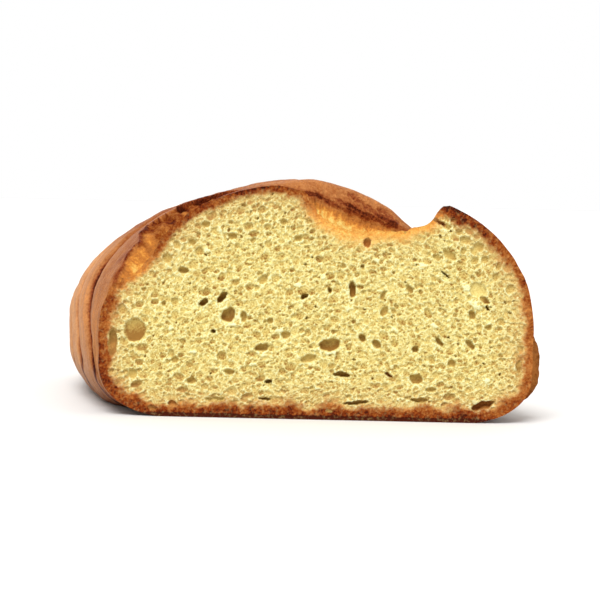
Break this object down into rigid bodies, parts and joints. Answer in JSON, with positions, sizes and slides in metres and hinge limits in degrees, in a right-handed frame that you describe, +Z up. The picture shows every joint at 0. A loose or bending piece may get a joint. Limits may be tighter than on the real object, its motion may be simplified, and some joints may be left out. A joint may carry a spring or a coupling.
{
  "type": "cut mustard loaf",
  "caption": "Half of an oval hearth loaf with yellow crumb, scored crosswise so that its brown crust opened in slanting bands, standing on its flat base with the sliced face forward",
  "frame": {"origin": "centre of the bounding box's bottom face, on the loaf's flat underside", "axes": "+Z up from the flat base. The sliced face is flat, stands upright and looks towards -Y. The loaf runs back from it along +Y, leaning about 15 degrees towards -X. +X is to the right as the sliced face is looked at, with the lifted lip of crust on that side"},
  "size_m": [0.1399, 0.13, 0.0669],
  "materials": {
    "crust": "baked crust, satin where the skin is smooth",
    "crumb": "matt open crumb"
  },
  "bodies": {
    "root": {"loaf": "crust"}
  },
  "joints": []
}
